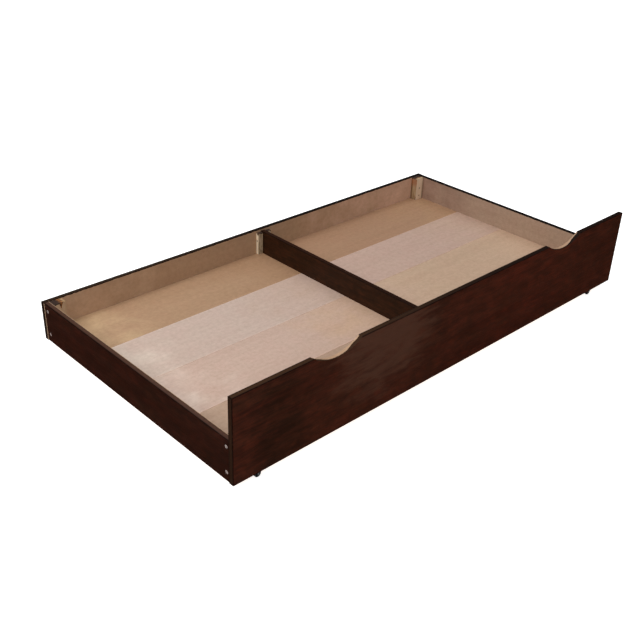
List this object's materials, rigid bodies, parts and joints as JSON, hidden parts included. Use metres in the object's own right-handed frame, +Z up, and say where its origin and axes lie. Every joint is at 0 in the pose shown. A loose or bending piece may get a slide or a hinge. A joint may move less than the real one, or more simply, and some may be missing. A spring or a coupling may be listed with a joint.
{
  "type": "trundle bed",
  "caption": "Low open bed box on swivel casters with a tall front panel that has scooped hand cut-outs, a lower rail on the other sides and a centre divider.",
  "frame": {"origin": "on the floor under the middle of the box, at the centre of the footprint", "axes": "+X along the bed's length, -Y is the side that the tall front panel faces, +Z up"},
  "size_m": [1.95, 1.048, 0.33],
  "materials": {
    "stained_wood": "dark espresso stain over close grain, satin",
    "post_wood": "natural softwood, sawn and sanded",
    "cleat_wood": "natural softwood, planed",
    "ledger_wood": "natural softwood, sawn",
    "board_wood": "natural close-grained veneer, matt",
    "zinc": "bright zinc plate",
    "fastener_steel": "zinc plate",
    "wheel_plastic": "hard black plastic"
  },
  "bodies": {
    "root": {"front_panel": "stained_wood", "back_rail": "stained_wood", "left_rail": "stained_wood", "right_rail": "stained_wood", "centre_divider": "stained_wood", "front_left_post": "post_wood", "front_right_post": "post_wood", "back_left_post": "post_wood", "back_right_post": "post_wood", "front_left_cleat": "cleat_wood", "front_right_cleat": "cleat_wood", "back_left_cleat": "cleat_wood", "back_right_cleat": "cleat_wood", "front_ledger": "ledger_wood", "back_ledger": "ledger_wood", "left_ledger": "ledger_wood", "right_ledger": "ledger_wood", "slat_1": "ledger_wood", "slat_2": "ledger_wood", "slat_3": "ledger_wood", "slat_4": "ledger_wood", "slat_5": "ledger_wood", "left_board_1": "board_wood", "left_board_2": "board_wood", "left_board_3": "board_wood", "left_board_4": "board_wood", "right_board_1": "board_wood", "right_board_2": "board_wood", "right_board_3": "board_wood", "right_board_4": "board_wood", "front_left_caster_plate": "zinc", "front_left_caster_pin": "zinc", "front_right_caster_plate": "zinc", "front_right_caster_pin": "zinc", "back_left_caster_plate": "zinc", "back_left_caster_pin": "zinc", "back_right_caster_plate": "zinc", "back_right_caster_pin": "zinc", "left_rail_bolts": "fastener_steel", "right_rail_bolts": "fastener_steel", "post_inserts": "fastener_steel", "post_screws": "fastener_steel", "cleat_screws": "fastener_steel", "ledger_screws": "fastener_steel", "slat_screws": "fastener_steel", "caster_screws": "fastener_steel"},
    "front_left_fork": {"front_left_caster_fork": "zinc", "front_left_caster_axle": "zinc"},
    "front_left_wheel": {"front_left_caster_wheel": "wheel_plastic"},
    "front_right_fork": {"front_right_caster_fork": "zinc", "front_right_caster_axle": "zinc"},
    "front_right_wheel": {"front_right_caster_wheel": "wheel_plastic"},
    "back_left_fork": {"back_left_caster_fork": "zinc", "back_left_caster_axle": "zinc"},
    "back_left_wheel": {"back_left_caster_wheel": "wheel_plastic"},
    "back_right_fork": {"back_right_caster_fork": "zinc", "back_right_caster_axle": "zinc"},
    "back_right_wheel": {"back_right_caster_wheel": "wheel_plastic"}
  },
  "joints": [
    {"name": "front_left_swivel", "type": "hinge", "parent": "root", "child": "front_left_fork", "pos_m": [-0.864, -0.502, 0.025], "axis": [0, 0, 1], "continuous": true},
    {"name": "front_left_roll", "type": "hinge", "parent": "front_left_fork", "child": "front_left_wheel", "pos_m": [-0.871, -0.502, 0.0115], "axis": [0, 1, 0], "continuous": true},
    {"name": "front_right_swivel", "type": "hinge", "parent": "root", "child": "front_right_fork", "pos_m": [0.864, -0.502, 0.025], "axis": [0, 0, 1], "continuous": true},
    {"name": "front_right_roll", "type": "hinge", "parent": "front_right_fork", "child": "front_right_wheel", "pos_m": [0.857, -0.502, 0.0115], "axis": [0, 1, 0], "continuous": true},
    {"name": "back_left_swivel", "type": "hinge", "parent": "root", "child": "back_left_fork", "pos_m": [-0.864, 0.502, 0.025], "axis": [0, 0, 1], "continuous": true},
    {"name": "back_left_roll", "type": "hinge", "parent": "back_left_fork", "child": "back_left_wheel", "pos_m": [-0.871, 0.502, 0.0115], "axis": [0, 1, 0], "continuous": true},
    {"name": "back_right_swivel", "type": "hinge", "parent": "root", "child": "back_right_fork", "pos_m": [0.864, 0.502, 0.025], "axis": [0, 0, 1], "continuous": true},
    {"name": "back_right_roll", "type": "hinge", "parent": "back_right_fork", "child": "back_right_wheel", "pos_m": [0.857, 0.502, 0.0115], "axis": [0, 1, 0], "continuous": true}
  ]
}
